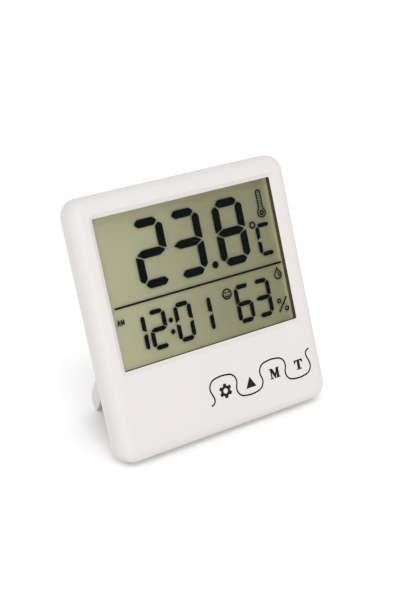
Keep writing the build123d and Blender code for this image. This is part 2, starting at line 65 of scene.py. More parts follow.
# shader maths
class Wire:  # a socket that can be used in sums
    def __init__(self, finish, socket):
        self.finish = finish
        self.socket = socket

    def math(self, operation, first, second):
        return self.finish.node("ShaderNodeMath", {"operation": operation}, {0: first, 1: second})

    def __add__(self, other):
        return self.math("ADD", self, other)

    def __radd__(self, other):
        return self.math("ADD", other, self)

    def __sub__(self, other):
        return self.math("SUBTRACT", self, other)

    def __rsub__(self, other):
        return self.math("SUBTRACT", other, self)

    def __mul__(self, other):
        return self.math("MULTIPLY", self, other)

    def __rmul__(self, other):
        return self.math("MULTIPLY", other, self)

    def __truediv__(self, other):
        return self.math("DIVIDE", self, other)

    def __rtruediv__(self, other):
        return self.math("DIVIDE", other, self)

    def __gt__(self, other):
        return self.math("GREATER_THAN", self, other)

    def __lt__(self, other):
        return self.math("LESS_THAN", self, other)

    # a noise that swings about zero by a spread
    def swing(self, spread):
        return (self - noise["middle"]) * spread


class Finish:
    def __init__(self, name):
        self.material = bpy.data.materials.new(name)
        self.material.use_nodes = True
        self.tree = self.material.node_tree
        self.tree.nodes.clear()

    # any node: its type, its settings, then the values or links of its sockets
    def node(self, kind, settings=None, inputs=None, output=0):
        made = self.tree.nodes.new(kind)
        for key, value in (settings or {}).items():
            if key == "stops":
                ramp = made.color_ramp.elements
                ramp.remove(ramp[-1])
                for stop in value[1:]:
                    ramp.new(stop[0])
                for element, (place, colour) in zip(ramp, value):
                    element.position = place
                    element.color = (*colour, 1)
            else:
                setattr(made, key, value)
        for key, value in (inputs or {}).items():
            if isinstance(value, Wire):
                self.tree.links.new(value.socket, made.inputs[key])
            elif isinstance(value, (tuple, list)) and made.inputs[key].type == "RGBA":
                made.inputs[key].default_value = (*value[:3], 1)
            else:
                made.inputs[key].default_value = value
        return Wire(self, made.outputs[output]) if made.outputs else made

    def place(self):
        return self.node("ShaderNodeTexCoord", output="Object")

    def axis(self, name):
        return self.node("ShaderNodeSeparateXYZ", None, {0: self.place()}, name)

    # a place in the upright case, in millimetres: 0 across, 1 in depth, 2 up
    def along(self, axis):
        share = self.node("ShaderNodeVectorMath", {"operation": "DOT_PRODUCT"},
                          {0: self.place(), 1: frameToCase[axis][:3]}, "Value")
        return share + frameToCase[axis][3]

    # noise with grains of a size in millimetres
    def grain(self, size, detail=noise["fineDetail"], stretch=None):
        where = self.place()
        if stretch:
            where = self.node("ShaderNodeVectorMath", {"operation": "MULTIPLY"}, {0: where, 1: stretch})
        inputs = {"Vector": where, "Scale": 1 / (size * mm), "Detail": detail}
        return self.node("ShaderNodeTexNoise", None, inputs)

    # sockets 6, 7 and the output 2 are the Mix node's colours
    def blend(self, factor, first, second):
        made = {"data_type": "RGBA", "blend_type": "MIX"}
        return self.node("ShaderNodeMix", made, {0: factor, 6: first, 7: second}, 2)

    def relief(self, height, look):
        strength = look.get("reliefStrength", noise["reliefStrength"])
        inputs = {"Strength": strength, "Distance": look["relief"] * mm, "Height": height}
        return self.node("ShaderNodeBump", None, inputs)

    def done(self, **sockets):
        words = {"colour": "Base Color", "rough": "Roughness", "metal": "Metallic", "normal": "Normal",
                 "alpha": "Alpha", "coat": "Coat Weight", "specular": "Specular IOR Level"}
        shader = self.node("ShaderNodeBsdfPrincipled", None, {words[k]: v for k, v in sockets.items()})
        self.node("ShaderNodeOutputMaterial", None, {"Surface": shader})
        return self.material


# a moulded, cast, rolled or printed surface: two tones in soft patches, a fine grain in gloss and relief
def mouldedFinish(name, look):
    finish = Finish(name)
    patches = finish.grain(look["patch"], noise["softDetail"], look.get("stretch"))
    fine = finish.grain(look["grain"], noise["fineDetail"], look.get("stretch"))
    colour = finish.blend(patches, look["dark"], look["light"])
    rough = look["rough"] + fine.swing(look["roughSpread"]) + patches.swing(look["roughSpread"])
    constants = {key: look[key] for key in ("metal", "coat", "specular") if key in look}
    return finish.done(colour=colour, rough=rough, normal=finish.relief(fine, look), **constants)


mouldedLooks = {
    "whiteAbs": {"patch": 22, "grain": 0.42, "dark": (0.622, 0.594, 0.577), "light": (0.650, 0.621, 0.603),
                 "rough": 0.46, "roughSpread": 0.10, "relief": 0.012, "reliefStrength": 0.35,
                 "specular": 0.42},
    "holderPlastic": {"patch": 9, "grain": 0.3, "dark": (0.60, 0.59, 0.57), "light": (0.68, 0.67, 0.65),
                      "rough": 0.5, "roughSpread": 0.1, "relief": 0.015},
    # black plastic of the switches and resistors; also the painted shade in the screws' cross recesses
    "blackPlasticAndRecessShade": {"patch": 2, "grain": 0.15, "dark": (0.012, 0.012, 0.013), "light": (0.03, 0.03, 0.032),
                      "rough": 0.45, "roughSpread": 0.2, "relief": 0.01},
    "plungerPlastic": {"patch": 1.2, "grain": 0.12, "dark": (0.05, 0.045, 0.04), "light": (0.09, 0.08, 0.07),
                       "rough": 0.4, "roughSpread": 0.15, "relief": 0.008},
    "chipEpoxy": {"patch": 2.5, "grain": 0.5, "dark": (0.008, 0.008, 0.009), "light": (0.02, 0.02, 0.022),
                  "rough": 0.22, "roughSpread": 0.16, "relief": 0.03, "coat": 0.4},
    "platedSteel": {"patch": 1.6, "grain": 0.08, "dark": (0.52, 0.52, 0.53), "light": (0.68, 0.68, 0.69),
                    "rough": 0.3, "roughSpread": 0.2, "relief": 0.004, "metal": 1.0, "stretch": (0.25, 1, 1)},
    "rolledBrass": {"patch": 2.5, "grain": 0.1, "dark": (0.60, 0.42, 0.16), "light": (0.78, 0.58, 0.27),
                    "rough": 0.32, "roughSpread": 0.2, "relief": 0.004, "metal": 1.0, "stretch": (0.2, 1, 1)},
    "silveredCeramic": {"patch": 2, "grain": 0.2, "dark": (0.70, 0.69, 0.66), "light": (0.84, 0.83, 0.80),
                        "rough": 0.5, "roughSpread": 0.2, "relief": 0.01},
    "chipCeramic": {"patch": 0.6, "grain": 0.1, "dark": (0.36, 0.24, 0.13), "light": (0.52, 0.37, 0.22),
                    "rough": 0.5, "roughSpread": 0.2, "relief": 0.006},
    "sensorPlastic": {"patch": 2, "grain": 0.2, "dark": (0.62, 0.63, 0.64), "light": (0.74, 0.75, 0.76),
                      "rough": 0.5, "roughSpread": 0.12, "relief": 0.01},
    "beadEpoxy": {"patch": 0.8, "grain": 0.15, "dark": (0.01, 0.016, 0.05), "light": (0.03, 0.04, 0.10),
                  "rough": 0.25, "roughSpread": 0.15, "relief": 0.01, "coat": 0.3},
    "redInsulation": {"patch": 3, "grain": 0.2, "dark": (0.40, 0.012, 0.012), "light": (0.56, 0.03, 0.025),
                      "rough": 0.42, "roughSpread": 0.14, "relief": 0.01},
    "blackInsulation": {"patch": 3, "grain": 0.2, "dark": (0.010, 0.010, 0.011), "light": (0.03, 0.03, 0.03),
                        "rough": 0.42, "roughSpread": 0.14, "relief": 0.01},
    "reflectorFilm": {"patch": 6, "grain": 0.12, "dark": (0.30, 0.30, 0.20), "light": (0.40, 0.40, 0.27),
                      "rough": 0.55, "roughSpread": 0.2, "relief": 0.006, "stretch": (0.12, 1, 1)},
    "keyInk": {"patch": 1.5, "grain": 0.12, "dark": (0.008, 0.005, 0.005), "light": (0.015, 0.010, 0.009),
               "rough": 0.6, "roughSpread": 0.16, "relief": 0.004, "specular": 0.15},
    # near-black painted shadow for the slit between the keys
    "slitShadowDark": {"patch": 2, "grain": 0.2, "dark": (0.004, 0.003, 0.003), "light": (0.008, 0.006, 0.006),
                   "rough": 0.8, "roughSpread": 0.12, "relief": 0.01, "specular": 0.05},
    "segmentInk": {"patch": 6, "grain": 0.2, "dark": (0.0025, 0.0036, 0.0042),
                   "light": (0.0045, 0.0062, 0.0070), "rough": 0.45, "roughSpread": 0.1, "relief": 0.002,
                   "specular": 0.0},
    "paleInk": {"patch": 3, "grain": 0.2, "dark": (0.058, 0.060, 0.042), "light": (0.078, 0.080, 0.056),
                "rough": 0.5, "roughSpread": 0.1, "relief": 0.002, "specular": 0.1},
}
finishes = {name: mouldedFinish(name, look) for name, look in mouldedLooks.items()}

# gasket round the display: two dark foam layers with a paler tape between them, told apart by depth
gasketFoam = {"front": 1.05, "thick": 2.6, "foam": (0.020, 0.015, 0.013), "tape": (0.095, 0.077, 0.052),
              "rearFoam": (0.090, 0.076, 0.048), "tapeFrom": 0.40, "tapeTo": 0.66, "fade": 0.08,
              "grain": 0.35, "rough": 0.8, "roughSpread": 0.3, "specular": 0.2, "relief": 0.05}


def gasketFinish(look):
    finish = Finish("gasketFoam")
    layer = (finish.along(1) - look["front"]) / look["thick"]
    cells = finish.grain(look["grain"], noise["softDetail"])
    stops = [(0.0, look["foam"]), (look["tapeFrom"] - look["fade"], look["foam"]),
             (look["tapeFrom"], look["tape"]), (look["tapeTo"], look["tape"]),
             (look["tapeTo"] + look["fade"], look["rearFoam"])]
    tone = finish.node("ShaderNodeValToRGB", {"stops": stops}, {0: layer + cells.swing(look["fade"])})
    return finish.done(colour=tone, rough=look["rough"] + cells.swing(look["roughSpread"]),
                       specular=look["specular"], normal=finish.relief(cells, look))


finishes["gasketFoam"] = gasketFinish(gasketFoam)

# the display's olive ground: painted light that makes it lighter on the left and darker to the right, a fine
# haze, and painted light near its borders against the shade of the window's walls; each border's painted
# light is its strength and how far it reaches, in millimetres
displayGround = {"left": (0.411, 0.406, 0.259), "middle": (0.257, 0.252, 0.153),
                 "right": (0.230, 0.228, 0.133), "middleAt": 0.62, "halfWidth": 40.5, "low": 35.0,
                 "high": 93.4, "haze": 0.22, "hazeSpread": 0.20, "cloud": 18, "cloudSpread": 0.16,
                 "rough": 0.6, "roughSpread": 0.2, "specular": 0.1, "relief": 0.004, "reliefStrength": 0.3,
                 # painted light near the borders, against the walls' shade: strength and reach in millimetres
                 "rightPaintedLight": (1.05, 1.1), "leftPaintedLight": (0.12, 3.0), "lowPaintedLight": (0.56, 2.4),
                 "topPaintedLight": (0.38, 1.6)}


def displayGroundFinish(look):
    finish = Finish("displayGround")
    x, z = finish.along(0), finish.along(2)
    half = look["halfWidth"]
    # painted light: the tone runs from lighter on the left to darker on the right
    stops = [(0.0, look["left"]), (look["middleAt"], look["middle"]), (1.0, look["right"])]
    tone = finish.node("ShaderNodeValToRGB", {"stops": stops}, {0: (x + half) / (2 * half)})
    borders = {"rightPaintedLight": half - x, "leftPaintedLight": x + half,
               "lowPaintedLight": z - look["low"], "topPaintedLight": look["high"] - z}
    # painted light near each border, lifting the shade that the window's walls cast on the ground
    borderPaintedLight = 1.0
    for border, distance in borders.items():
        strength, reach = look[border]
        borderPaintedLight = borderPaintedLight + strength * finish.node("ShaderNodeMath", {"operation": "POWER"},
                                             {0: math.exp(-1 / reach), 1: distance})
    haze, cloud = finish.grain(look["haze"]), finish.grain(look["cloud"])
    veil = 1 + haze.swing(look["hazeSpread"]) + cloud.swing(look["cloudSpread"])
    shade = finish.node("ShaderNodeVectorMath", {"operation": "SCALE"}, {0: tone, "Scale": borderPaintedLight * veil})
    return finish.done(colour=shade, rough=look["rough"] + haze.swing(look["roughSpread"]),
                       specular=look["specular"], normal=finish.relief(haze, look))


finishes["displayGround"] = displayGroundFinish(displayGround)

# clear laminated front glass with a matt film: nearly all light passes
displayPane = {"tint": (0.02, 0.02, 0.016), "cover": 0.05, "coverSpread": 0.02, "smear": 14, "haze": 0.3,
               "rough": 0.22, "roughSpread": 0.12, "relief": 0.003, "reliefStrength": 0.3}


def displayPaneFinish(look):
    finish = Finish("displayPane")
    haze = finish.grain(look["haze"])
    smear = finish.grain(look["smear"], noise["softDetail"])
    return finish.done(colour=look["tint"], alpha=look["cover"] + smear.swing(look["coverSpread"]),
                       rough=look["rough"] + haze.swing(look["roughSpread"]),
                       normal=finish.relief(haze, look))


finishes["displayPane"] = displayPaneFinish(displayPane)

# silicone strip with its fine conducting bands
zebraStrip = {"band": 0.5, "pale": (0.62, 0.34, 0.38), "dark": (0.03, 0.025, 0.025), "grain": 0.2,
              "rough": 0.55, "roughSpread": 0.2, "relief": 0.01, "reliefStrength": 1.0}


def zebraFinish(look):
    finish = Finish("zebraStrip")
    wave = finish.node("ShaderNodeMath", {"operation": "SINE"},
                       {0: finish.axis("X") * (2 * math.pi / (look["band"] * mm))})
    fine = finish.grain(look["grain"])
    return finish.done(colour=finish.blend(wave > 0.0, look["pale"], look["dark"]),
                       rough=look["rough"] + fine.swing(look["roughSpread"]),
                       normal=finish.relief(fine, look))


finishes["zebraStrip"] = zebraFinish(zebraStrip)

# solder mask over copper: lighter where a trace runs below, bare tinned spots
boardMask = {"mask": (0.012, 0.105, 0.040), "trace": (0.035, 0.19, 0.075), "tinned": (0.55, 0.53, 0.48),
             "tracePitch": 2.4, "traceLevel": 0.35, "traceHeight": 0.5, "bend": 9, "bendDetail": 1.0,
             "bendLanes": 3.0, "spotPitch": 4.2, "spotSize": 0.17, "spotScatter": 0.6, "spotHeight": 0.5,
             "spotMetal": 0.9, "rough": 0.35, "roughSpread": 0.15, "relief": 0.02}


def boardFinish(look):
    finish = Finish("boardMask")
    bend = finish.grain(look["bend"], look["bendDetail"])
    lanes = finish.axis("X") / (look["tracePitch"] * mm) + bend * look["bendLanes"]
    wave = finish.node("ShaderNodeMath", {"operation": "SINE"}, {0: lanes * (2 * math.pi)})
    trace = wave > look["traceLevel"]
    scatter = {"Vector": finish.place(), "Scale": 1 / (look["spotPitch"] * mm),
               "Randomness": look["spotScatter"]}
    tinned = finish.node("ShaderNodeTexVoronoi", {"feature": "F1"}, scatter) < look["spotSize"]
    colour = finish.blend(tinned, finish.blend(trace, look["mask"], look["trace"]), look["tinned"])
    height = trace * look["traceHeight"] + tinned * look["spotHeight"]
    return finish.done(colour=colour, metal=tinned * look["spotMetal"],
                       rough=look["rough"] + bend.swing(look["roughSpread"]),
                       normal=finish.relief(height, look))


finishes["boardMask"] = boardFinish(boardMask)

# cell sleeve: plain dark wrap, a copper-coloured band at the plus end with a pale hem
cellSleeve = {"wrap": (0.018, 0.022, 0.030), "band": (0.52, 0.27, 0.11), "bandFrom": 8.0,
              "seam": (0.25, 0.25, 0.26), "hem": 0.5, "scratch": 0.5, "stretch": (0.2, 1, 1),
              "bandMetal": 0.85, "rough": 0.28, "roughSpread": 0.2, "relief": 0.006, "reliefStrength": 0.4,
              "coat": 0.3}


def cellFinish(look):
    finish = Finish("cellSleeve")
    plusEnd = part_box("battery_can")[1][0]
    edge = plusEnd - look["bandFrom"] * mm
    across = finish.axis("X")
    band = across > edge
    hem = (across > edge - look["hem"] * mm) * (across < edge)
    scratch = finish.grain(look["scratch"], noise["softDetail"], look["stretch"])
    colour = finish.blend(hem, finish.blend(band, look["wrap"], look["band"]), look["seam"])
    return finish.done(colour=colour, metal=band * look["bandMetal"],
                       rough=look["rough"] + scratch.swing(look["roughSpread"]),
                       normal=finish.relief(scratch, look), coat=look["coat"])


finishes["cellSleeve"] = cellFinish(cellSleeve)

nodeFinishes = {
    "whiteAbs": ["front_shell", "rear_shell", "key_set", "key_up", "key_mode", "key_unit", "battery_door",
                 "stand"],
    "gasketFoam": ["lcd_gasket"],
    "displayPane": ["lcd_polarizer", "lcd_front_glass"],
    "displayGround": ["lcd_rear_glass"],
    "reflectorFilm": ["lcd_reflector"],
    "holderPlastic": ["lcd_holder"],
    "zebraStrip": ["zebra_strip"],
    "boardMask": ["main_board"],
    "blackPlasticAndRecessShade": ["tact_switches", "resistors"],
    "plungerPlastic": ["plunger_set", "plunger_up", "plunger_mode", "plunger_unit"],
    "chipEpoxy": ["chip_cover"],
    "platedSteel": ["crystal", "board_screws", "case_screws", "battery_cap", "plate_contact",
                    "spring_contact"],
    "chipCeramic": ["capacitors"],
    "sensorPlastic": ["humidity_sensor"],
    "beadEpoxy": ["thermistor"],
    "cellSleeve": ["battery_can"],
    "redInsulation": ["red_lead"],
    "blackInsulation": ["black_lead"],
    "rolledBrass": ["buzzer_disc"],
    "silveredCeramic": ["buzzer_ceramic"],
}
for finishName, nodeNames in nodeFinishes.items():
    for nodeName in nodeNames:
        slots = frame["nodes"][nodeName].data.materials
        slots.clear()
        slots.append(finishes[finishName])
print("finishes on", sum(len(names) for names in nodeFinishes.values()), "nodes")

# flat outlines, in millimetres on the case's front; a rounding takes at most this share of an edge
edgeShare = 0.45


def softCorners(points, radius, steps=3):
    rounded = []
    count = len(points)
    for index in range(count):
        corner = Vector(points[index])
        back = Vector(points[index - 1]) - corner
        ahead = Vector(points[(index + 1) % count]) - corner
        reach = min(radius, back.length * edgeShare, ahead.length * edgeShare)
        start = corner + back.normalized() * reach
        end = corner + ahead.normalized() * reach
        for step in range(steps + 1):
            t = step / steps
            rounded.append(start * (1 - t) ** 2 + corner * (2 * t * (1 - t)) + end * t ** 2)
    return rounded


def polar(x, z, radius, turn):
    return Vector((x + radius * math.cos(turn), z + radius * math.sin(turn)))


def arc(x, z, radius, start, sweep, steps):
    return [polar(x, z, radius, start + sweep * step / steps) for step in range(steps + 1)]


def disc(x, z, radius, steps=32):
    return arc(x, z, radius, 0, 2 * math.pi, steps)[:-1]


def ring(x, z, radius, pen, steps=32):
    return [disc(x, z, radius, steps), disc(x, z, radius - pen, steps)]


def block(left, low, right, high):
    return [Vector((left, low)), Vector((right, low)), Vector((right, high)), Vector((left, high))]


def stroke(start, end, pen):
    start, end = Vector(start), Vector(end)
    side = (end - start).normalized().orthogonal() * (pen / 2)
    return [start + side, start - side, end - side, end + side]


# a plus of three blocks, the level bar first
def cross(x, z, arm, half):
    return [block(x - arm, z - half, x + arm, z + half), block(x - half, z + half, x + half, z + arm),
            block(x - half, z - arm, x + half, z - half)]


def addPiece(name, mesh, finish, body):
    data = bpy.data.meshes.new(name)
    mesh.to_mesh(data)
    mesh.free()
    data.materials.append(finishes[finish])
    piece = bpy.data.objects.new(name, data)
    bpy.context.scene.collection.objects.link(piece)
    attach(piece, body)
    return piece


# a thin plate from outlines; each shape is an outer loop and any holes
def plate(name, shapes, front, back, finish, body):
    mesh = bmesh.new()
    for shape in shapes:
        loops = shape if isinstance(shape[0], list) else [shape]
        flat = [[Vector((p[0], p[1], 0)) for p in loop] for loop in loops]
        points = [p for loop in flat for p in loop]
        frontVerts = [mesh.verts.new(caseToFrame @ Vector((p.x, front, p.y))) for p in points]
        backVerts = [mesh.verts.new(caseToFrame @ Vector((p.x, back, p.y))) for p in points]
        for triangle in tessellate_polygon(flat):
            mesh.faces.new([frontVerts[i] for i in triangle])
            mesh.faces.new([backVerts[i] for i in reversed(triangle)])
        start = 0
        for loop in flat:
            count = len(loop)
            for i in range(count):
                a, b = start + i, start + (i + 1) % count
                mesh.faces.new([frontVerts[a], frontVerts[b], backVerts[b], backVerts[a]])
            start += count
    bmesh.ops.recalc_face_normals(mesh, faces=mesh.faces)
    return addPiece(name, mesh, finish, body)


# display
pane = {"halfWidth": 44.0, "low": 31.5, "high": 96.9, "front": 3.65, "back": 4.5, "corner": 0.6}
paneBlock = block(-pane["halfWidth"], pane["low"], pane["halfWidth"], pane["high"])
paneGlass = plate("displayPane", [softCorners(paneBlock, pane["corner"])], pane["front"], pane["back"],
                  "displayPane", "case")
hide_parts("lcd_polarizer", "lcd_front_glass")

ink = {"front": 3.93, "back": 3.97, "smallSteps": 20}


def inkPlate(name, shapes, finish="segmentInk"):
    return plate(name, shapes, ink["front"], ink["back"], finish, "case")


# bars as usual, a at the top, clockwise to f, g in the middle; corners in shares of a bar's thickness,
# counted inwards from the digit's corner, and for g and an upright's foot from its middle height
digits = {"0": "abcdef", "1": "bc", "2": "abdeg", "3": "abcdg", "6": "acdefg", "8": "abcdefg", "C": "adef"}
barShares = {
    "level": [(0.62, 0.5), (1.12, 0), (-1.12, 0), (-0.62, 0.5), (-1.12, 1), (1.12, 1)],
    "middle": [(0.22, 0), (1.05, 0.5), (-1.05, 0.5), (-0.22, 0), (-1.05, -0.5), (1.05, -0.5)],
    "upright": [(0, 1.08), (0.52, 0.70), (1.0, 1.18)],
    "foot": [(1.0, 0.62), (0, 0.14)],
}


def digitBars(figure, left, look):
    right, height, thick = look["width"], look["height"], look["thick"]
    half = height / 2
    made = []
    for bar in digits[figure]:
        if bar in "ad":
            points = [((right if u < 0 else 0) + u * thick, height - v * thick)
                      for u, v in barShares["level"]]
        elif bar == "g":
            points = [((right if u < 0 else 0) + u * thick, half + v * thick)
                      for u, v in barShares["middle"]]
        else:
            points = [(right - u * thick, height - v * thick) for u, v in barShares["upright"]]
            points += [(right - u * thick, half + v * thick) for u, v in barShares["foot"]]
        if bar in "cde":
            points = [(x, height - z) for x, z in points]
        if bar in "ef":
            points = [(right - x, z) for x, z in points]
        made.append(softCorners([(left + x, look["low"] + z) for x, z in points], look["soft"]))
    return made


def figureBars(places, look):
    return [bar for figure, left in places for bar in digitBars(figure, left, look)]


temperature = {"low": 62.4, "height": 26.6, "width": 14.25, "thick": 3.25, "soft": 0.45,
               "places": [("2", -24.4), ("3", -7.75), ("8", 12.75)], "point": (9.6, 64.55),
               "pointRadius": 1.45}
decimalPoint = disc(*temperature["point"], temperature["pointRadius"])
inkPlate("temperatureDigits", figureBars(temperature["places"], temperature) + [decimalPoint])

degree = {"ring": (30.3, 75.95), "radius": 1.45, "pen": 0.66, "left": 31.4, "low": 62.6, "width": 7.7,
          "height": 13.3, "thick": 1.65, "soft": 0.25}
degreeRing = ring(*degree["ring"], degree["radius"], degree["pen"])
inkPlate("degreeMark", digitBars("C", degree["left"], degree) + [degreeRing])

smallFigures = {"low": 38.75, "height": 15.6, "width": 7.9, "thick": 1.78, "soft": 0.25}
clockFigures = {"places": [("1", -34.1), ("2", -24.9), ("0", -13.1), ("1", -3.9)],
                "colon": [(-15.1, 48.55), (-15.1, 43.95)], "colonRadius": 0.98}
humidityFigures = {"places": [("6", 15.45), ("3", 24.7)]}
colon = [disc(x, z, clockFigures["colonRadius"], ink["smallSteps"]) for x, z in clockFigures["colon"]]
inkPlate("clockDigits", figureBars(clockFigures["places"], smallFigures) + colon)
inkPlate("humidityDigits", figureBars(humidityFigures["places"], smallFigures))

percent = {"left": 34.8, "low": 38.8, "right": 39.95, "high": 44.3, "inset": 0.3, "pen": 0.60, "dot": 1.02,
           "dotPen": 0.54, "upperDot": (1.0, 1.05), "lowerDot": (0.95, 0.8)}


def percentSign(look):
    bar = stroke((look["left"] + look["inset"], look["low"]), (look["right"] - look["inset"], look["high"]),
                 look["pen"])
    upper = (look["left"] + look["upperDot"][0], look["high"] - look["upperDot"][1])
    lower = (look["right"] - look["lowerDot"][0], look["low"] + look["lowerDot"][1])
    return [bar] + [ring(*dot, look["dot"], look["dotPen"], ink["smallSteps"]) for dot in (upper, lower)]


inkPlate("percentMark", percentSign(percent))

divider = {"left": -37.7, "right": 40.4, "height": 58.5, "thick": 0.75}
inkPlate("displayDivider", [block(divider["left"], divider["height"] - divider["thick"] / 2,
                                  divider["right"], divider["height"] + divider["thick"] / 2)])

# small letters before the hour
dayHalf = {"left": -37.75, "low": 51.9, "high": 54.0, "pen": 0.40, "letter": 1.12, "gap": 0.34,
           "barInset": 0.3, "barLift": 0.6, "barShare": 0.8, "valley": 0.4}


def dayHalfSign(look):
    low, high, pen, wide = look["low"], look["high"], look["pen"], look["letter"]
    a, m = look["left"], look["left"] + wide + look["gap"]
    aTop, barLow = (a + wide / 2, high), low + look["barLift"]
    shapes = [stroke((a, low), aTop, pen), stroke((a + wide, low), aTop, pen)]
    shapes.append(block(a + look["barInset"], barLow, a + wide - look["barInset"],
                        barLow + pen * look["barShare"]))
    shapes += [block(m, low, m + pen, high), block(m + wide, low, m + wide + pen, high)]
    valley = (m + (wide + pen) / 2, low + look["valley"])
    shapes += [stroke((side + pen / 2, high), valley, pen) for side in (m, m + wide)]
    return shapes


inkPlate("dayHalfMark", dayHalfSign(dayHalf))

# thermometer sign: a bulb with a ring in it and a tube with a rounded top
tube = {"x": 35.85, "bulb": 79.95, "bulbRadius": 2.1, "top": 89.45, "half": 1.25, "pen": 0.5, "core": 1.08,
        "corePen": 0.6, "bulbSteps": 28, "capSteps": 12}


def thermometerSign(look):
    def outline(inset):
        half, radius = look["half"] - inset, look["bulbRadius"] - inset
        meet = math.acos(half / radius)  # where the tube leaves the bulb
        bulb = arc(look["x"], look["bulb"], radius, math.pi - meet, 2 * meet + math.pi, look["bulbSteps"])
        return bulb + arc(look["x"], look["top"] - inset - half, half, 0, math.pi, look["capSteps"])

    core = ring(look["x"], look["bulb"], look["core"], look["corePen"], ink["smallSteps"])
    return [[outline(0), outline(look["pen"])], core]


inkPlate("thermometerSign", thermometerSign(tube))
scale = {"half": 0.52, "low": 82.2, "pitch": 1.15, "count": 6, "thick": 0.48}
tickLows = [scale["low"] + index * scale["pitch"] for index in range(scale["count"])]
scaleTicks = [block(tube["x"] - scale["half"], low, tube["x"] + scale["half"], low + scale["thick"])
              for low in tickLows]
inkPlate("thermometerColumn", scaleTicks, "paleInk")

# droplet sign, shaded on its right
droplet = {"x": 37.75, "bulb": 53.75, "radius": 1.85, "top": 56.95, "pen": 0.5, "tipInset": 1.8, "steps": 24}
dropletFill = {"from": -80, "to": 95, "inset": 0.62, "steps": 14}


def dropletSign(look):
    def outline(inset):
        radius = look["radius"] - inset
        tip = look["top"] - inset * look["tipInset"] - look["bulb"]
        lean = math.acos(radius / tip)
        belly = arc(look["x"], look["bulb"], radius, math.pi / 2 + lean, 2 * (math.pi - lean), look["steps"])
        return [Vector((look["x"], look["bulb"] + tip))] + belly

    return [[outline(0), outline(look["pen"])]]


def dropletShade(look, fill):
    start, end = math.radians(fill["from"]), math.radians(fill["to"])
    return [arc(look["x"], look["bulb"], look["radius"] - fill["inset"], start, end - start, fill["steps"])]


inkPlate("dropletSign", dropletSign(droplet))
inkPlate("dropletShade", dropletShade(droplet, dropletFill), "paleInk")

# comfort sign: a ring with two dots and a curved line
comfort = {"x": 12.1, "z": 52.1, "radius": 2.22, "pen": 0.56, "eye": 0.40, "eyeAside": 0.72, "eyeLift": 0.62,
           "eyeSteps": 14, "mouth": 1.27, "mouthPen": 0.50, "mouthDrop": 0.05, "mouthFrom": 205,
           "mouthTo": 335, "mouthSteps": 13}


def comfortSign(look):
    x, z = look["x"], look["z"]
    eyes = [disc(x + side * look["eyeAside"], z + look["eyeLift"], look["eye"], look["eyeSteps"])
            for side in (-1, 1)]
    start, end = math.radians(look["mouthFrom"]), math.radians(look["mouthTo"])
    outer, inner = [arc(x, z - look["mouthDrop"], radius, start, end - start, look["mouthSteps"])
                    for radius in (look["mouth"], look["mouth"] - look["mouthPen"])]
    return [ring(x, z, look["radius"], look["pen"])] + eyes + [outer + inner[::-1]]


inkPlate("comfortSign", comfortSign(comfort))
print("display dressed")

# key marks, printed on the tongues
keyPrint = {"front": -0.025, "back": 0.02, "softSteps": 2}


def keyPlate(name, shapes, key):
    return plate(name, shapes, keyPrint["front"], keyPrint["back"], "keyInk", key)


# a tooth's flank turns from its middle by shares of the pitch
gear = {"x": 0.05, "z": 16.05, "root": 2.12, "tip": 2.9, "crownRise": 1.02, "teeth": 6, "rootShare": 0.36,
        "tipShare": 0.24, "crownShare": 0.12, "soft": 0.18, "hole": 1.05, "holeSteps": 28}


def gearSign(look):
    flank = [(look["rootShare"], look["root"]), (look["tipShare"], look["tip"]),
             (look["crownShare"], look["tip"] * look["crownRise"])]
    tooth = [(-share, radius) for share, radius in flank] + flank[::-1]
    pitch = 2 * math.pi / look["teeth"]
    outer = []
    for index in range(look["teeth"]):
        middle = math.pi / 2 + index * pitch
        outer += [polar(look["x"], look["z"], radius, middle + share * pitch) for share, radius in tooth]
    hole = disc(look["x"], look["z"], look["hole"], look["holeSteps"])
    return [[softCorners(outer, look["soft"], keyPrint["softSteps"]), hole]]


keyPlate("gearMark", gearSign(gear), "key_set")

upArrow = {"x": 12.05, "low": 14.05, "high": 18.5, "half": 2.45, "soft": 0.15}
upCorners = [(upArrow["x"] - upArrow["half"], upArrow["low"]),
             (upArrow["x"] + upArrow["half"], upArrow["low"]), (upArrow["x"], upArrow["high"])]
keyPlate("upMark", [softCorners(upCorners, upArrow["soft"], keyPrint["softSteps"])], "key_up")

# letters with serifs, their strokes in shares of the letter's width and height
modeLetter = {"x": 24.1, "low": 14.35, "width": 4.95, "height": 4.25, "strokeShares": [
    block(0.0, 0, 0.34, 0.10), block(0.10, 0, 0.225, 1.0), block(0.0, 0.90, 0.30, 1.0),
    block(0.58, 0, 1.0, 0.10), block(0.665, 0, 0.915, 1.0), block(0.70, 0.90, 1.0, 1.0),
    [(0.06, 1.0), (0.33, 1.0), (0.60, 0.36), (0.47, 0.0)],
    [(0.44, 0.0), (0.54, 0.0), (0.82, 1.0), (0.70, 1.0)]]}
unitLetter = {"x": 36.25, "low": 14.6, "width": 4.2, "height": 4.1, "strokeShares": [
    block(0.345, 0.05, 0.655, 1.0), block(0.18, 0, 0.82, 0.10), block(0.0, 0.87, 1.0, 1.0),
    [(0.0, 0.87), (0.0, 0.64), (0.09, 0.64), (0.26, 0.87)],
    [(1.0, 0.87), (0.74, 0.87), (0.91, 0.64), (1.0, 0.64)]]}


def letterSign(look):
    left = look["x"] - look["width"] / 2
    return [[Vector((left + u * look["width"], look["low"] + v * look["height"])) for u, v in part]
            for part in look["strokeShares"]]


keyPlate("modeMark", letterSign(modeLetter), "key_mode")
keyPlate("unitMark", letterSign(unitLetter), "key_unit")

# painted shadow: a near-black strip that fills the wavy slit between the tongues, flush with the face, for
# the shade inside it
slitShadow = {"width": 0.64, "front": 0.0, "back": 0.50, "pitch": 12.0, "shift": -0.43, "level": 16.85,
        "rise": 5.45, "crownLift": 0.17, "drop": 1.0, "overhang": 1.65, "lobeRound": 3.6, "hookRound": 2.0,
        "hookShare": 0.36, "tongues": 4, "arcSteps": 9}


